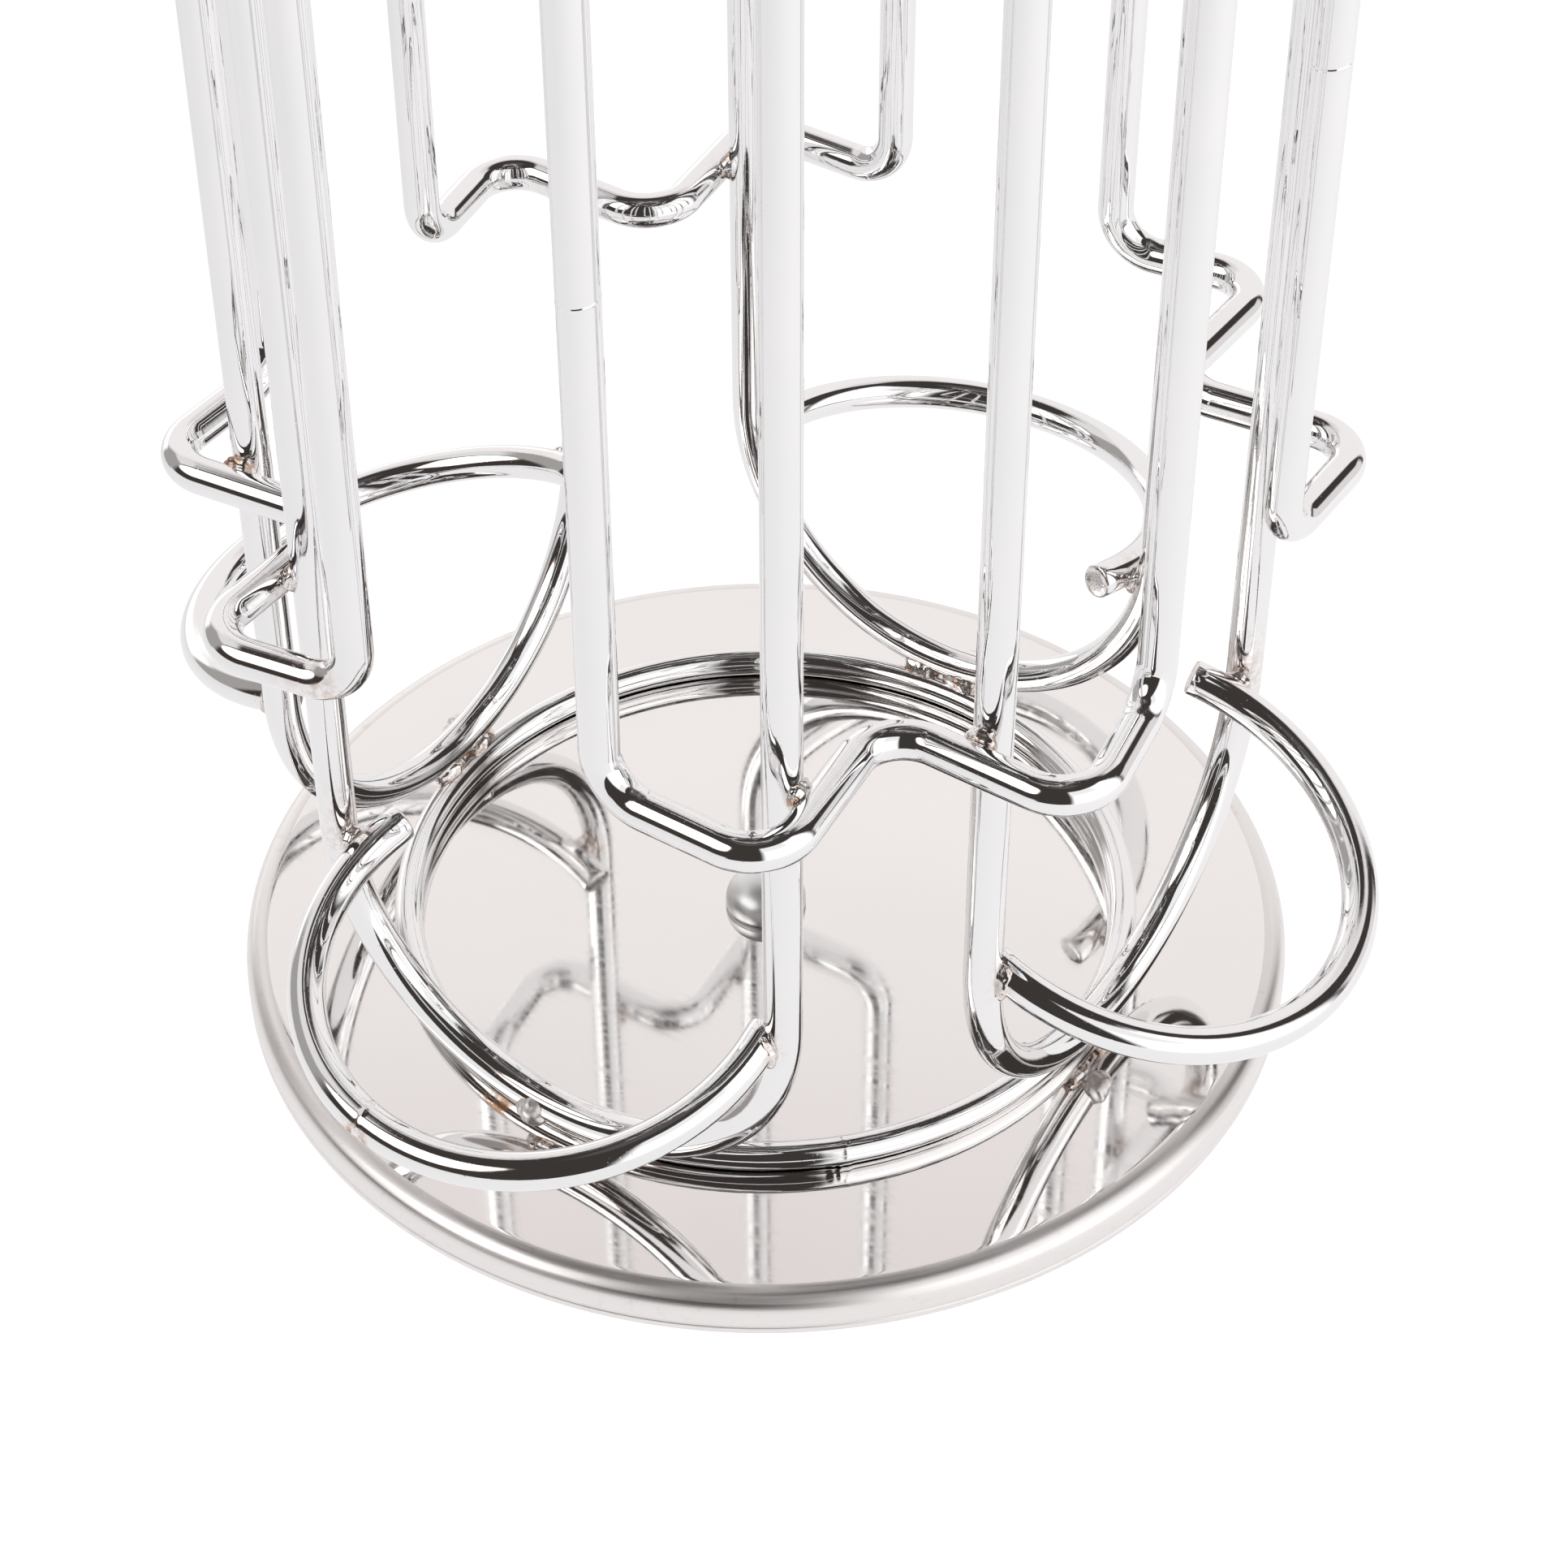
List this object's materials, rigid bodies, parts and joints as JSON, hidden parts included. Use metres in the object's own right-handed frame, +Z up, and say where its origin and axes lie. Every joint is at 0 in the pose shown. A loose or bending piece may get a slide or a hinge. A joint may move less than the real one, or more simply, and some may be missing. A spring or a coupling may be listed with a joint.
{
  "type": "rotating drink disc carousel",
  "caption": "Turning chrome-wire tower with upright disc columns, wire guides and catch loops on a round polished base that swivels on a hidden ball bearing.",
  "frame": {"origin": "centre of the base, on the table, on the turning axis", "axes": "+Z up along the turning axis; the columns face -Y, +X, +Y and -X"},
  "size_m": [0.1803, 0.1822, 0.3887],
  "materials": {
    "chrome": "bright chrome plate",
    "polished_sheet": "mirror-polished sheet",
    "steel": "plain zinc-plated steel",
    "rubber": "matt black",
    "nylon": "matt off-white"
  },
  "bodies": {
    "foot": {"foot_pan": "steel", "foot_pad_1": "rubber", "foot_pad_2": "rubber", "foot_pad_3": "rubber", "foot_pad_4": "rubber", "lower_race": "steel", "race_rivet_1": "steel", "race_rivet_2": "steel", "race_rivet_3": "steel", "pivot_bush": "nylon"},
    "ball_ring": {"ball_cage": "nylon", "bearing_ball_1": "steel", "bearing_ball_2": "steel", "bearing_ball_3": "steel", "bearing_ball_4": "steel", "bearing_ball_5": "steel", "bearing_ball_6": "steel", "bearing_ball_7": "steel", "bearing_ball_8": "steel"},
    "tower": {"upper_race": "steel", "pivot_bolt": "steel", "thrust_washer": "steel", "spacer_sleeve": "steel", "centre_cap_nut": "chrome", "base_disc": "polished_sheet", "base_ring": "chrome", "top_ring": "chrome", "column_frame_1": "chrome", "column_frame_2": "chrome", "column_frame_3": "chrome", "column_frame_4": "chrome", "guide_frame_1": "chrome", "guide_frame_2": "chrome", "guide_frame_3": "chrome", "guide_frame_4": "chrome", "catch_loop_1": "chrome", "catch_loop_2": "chrome", "catch_loop_3": "chrome", "catch_loop_4": "chrome"}
  },
  "joints": [
    {"name": "tower_spin", "type": "hinge", "parent": "foot", "child": "tower", "pos_m": [0, 0, 0.011], "axis": [0, 0, 1], "continuous": true},
    {"name": "ball_ring_spin", "type": "hinge", "parent": "foot", "child": "ball_ring", "pos_m": [0, 0, 0.0065], "axis": [0, 0, 1], "continuous": true}
  ],
  "couplings": [
    {"joint": "ball_ring_spin", "follows": "tower_spin", "ratio": 0.5}
  ]
}
